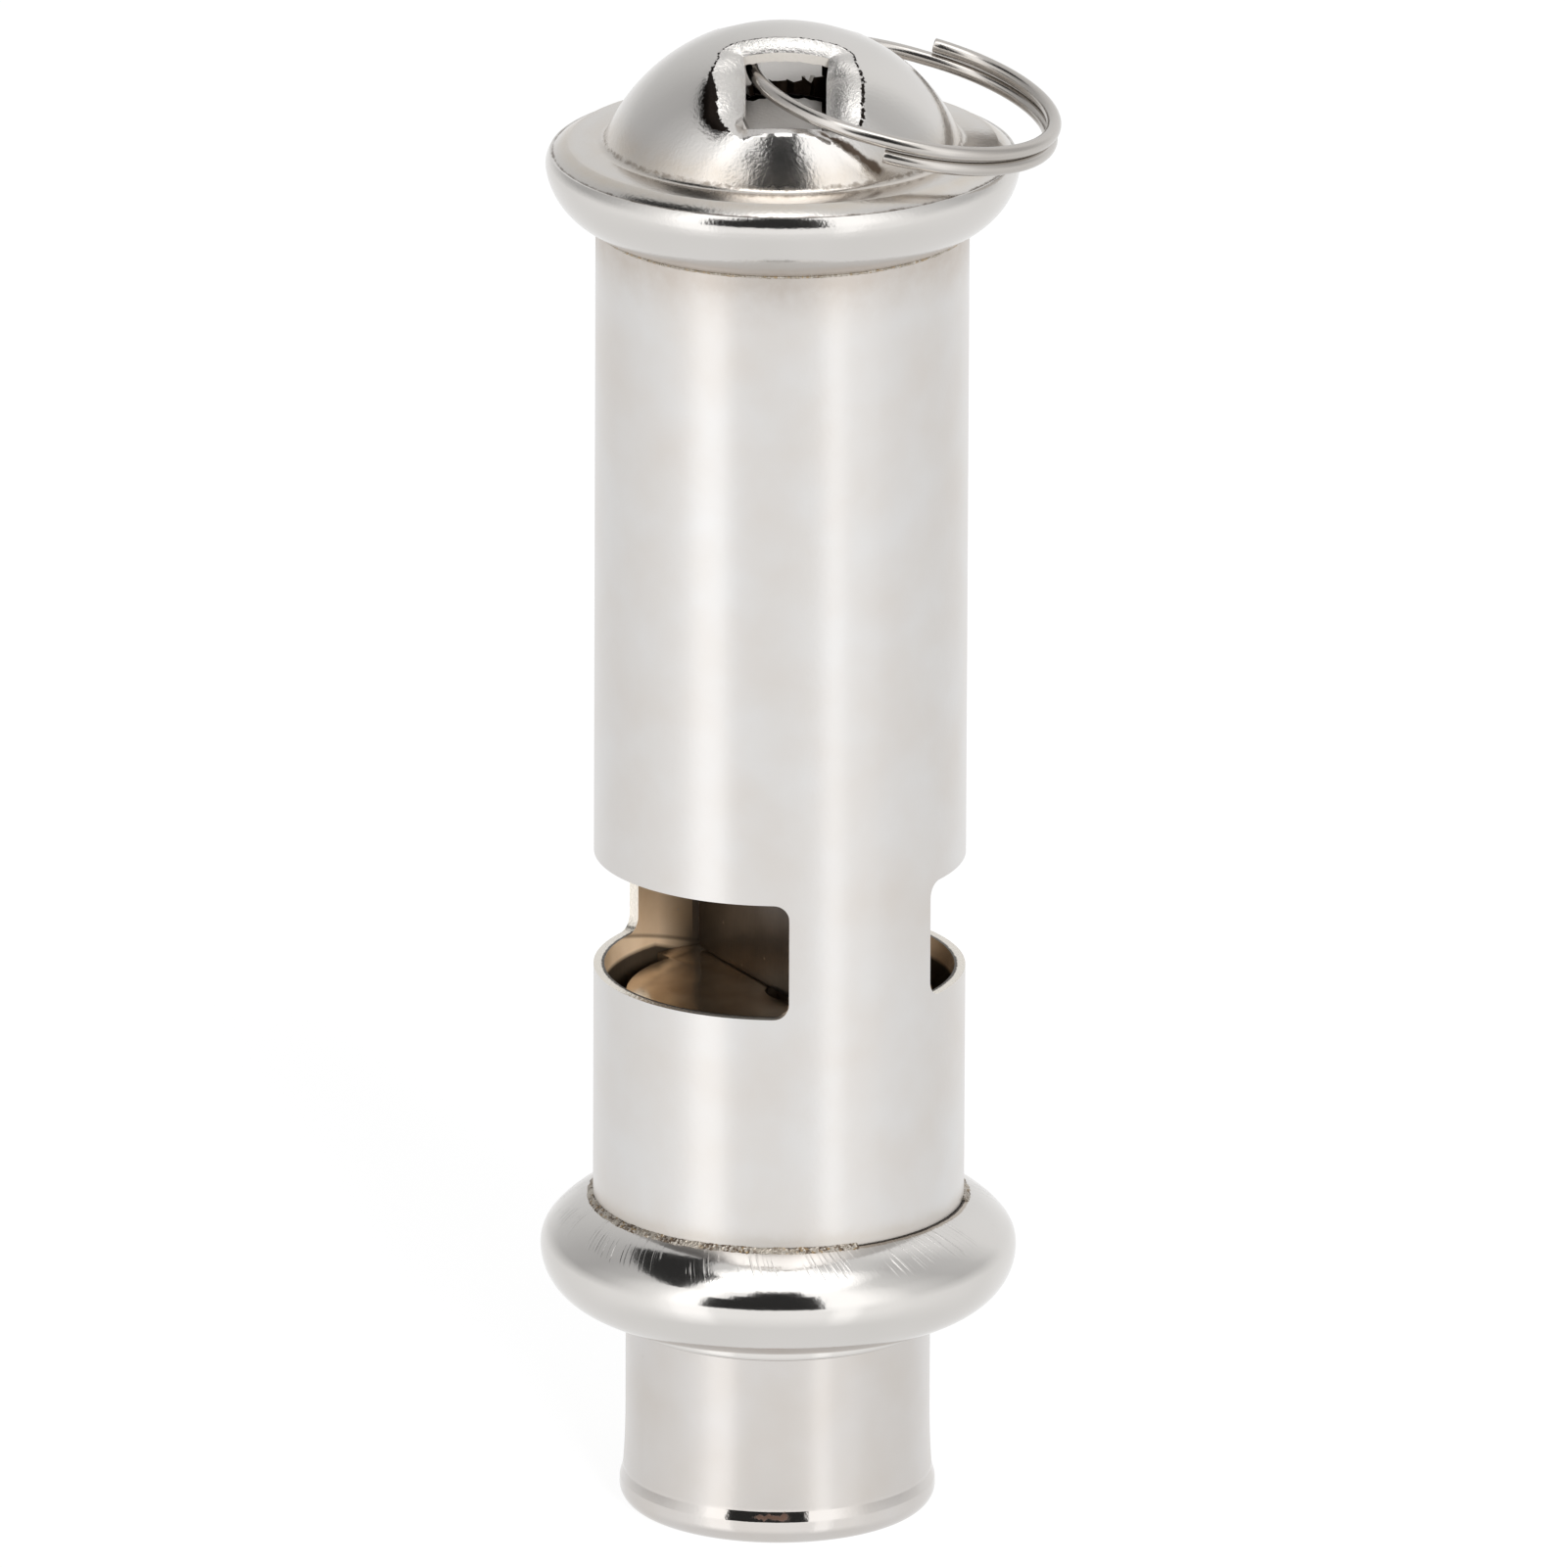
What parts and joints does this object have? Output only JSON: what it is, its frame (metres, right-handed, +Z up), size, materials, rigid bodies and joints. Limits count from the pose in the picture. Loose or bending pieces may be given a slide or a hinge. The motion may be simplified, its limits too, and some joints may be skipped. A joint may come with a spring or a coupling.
{
  "type": "whistle",
  "caption": "Two-chamber tube whistle of nickel-plated sheet brass, with a turned collar, a domed cap and a split ring through the cap.",
  "frame": {"origin": "centre of the mouthpiece's mouth, in the plane of its rim", "axes": "+Z up the tube from the mouthpiece to the cap; the two windows face -Y and +Y"},
  "size_m": [0.0244, 0.0254, 0.0787],
  "materials": {
    "satin_nickel": "satin",
    "bright_nickel": "polished",
    "dull_brass": "satin",
    "solder": "matte",
    "ring_steel": "satin"
  },
  "bodies": {
    "whistle": {"barrel": "satin_nickel", "mouthpiece_tube": "satin_nickel", "collar": "bright_nickel", "cap_bowl": "bright_nickel", "cap_dome": "bright_nickel", "windway_plug": "dull_brass", "divider_plate": "dull_brass", "chamber_stop": "dull_brass", "top_disc": "dull_brass", "collar_solder": "solder", "cap_solder": "solder"},
    "ring": {"split_ring": "ring_steel"}
  },
  "joints": [
    {"name": "ring_swing", "type": "hinge", "parent": "whistle", "child": "ring", "pos_m": [-0.00043, -0.00079, 0.077], "axis": [0.8788, -0.4772, 0], "range_deg": [0, 150]}
  ]
}
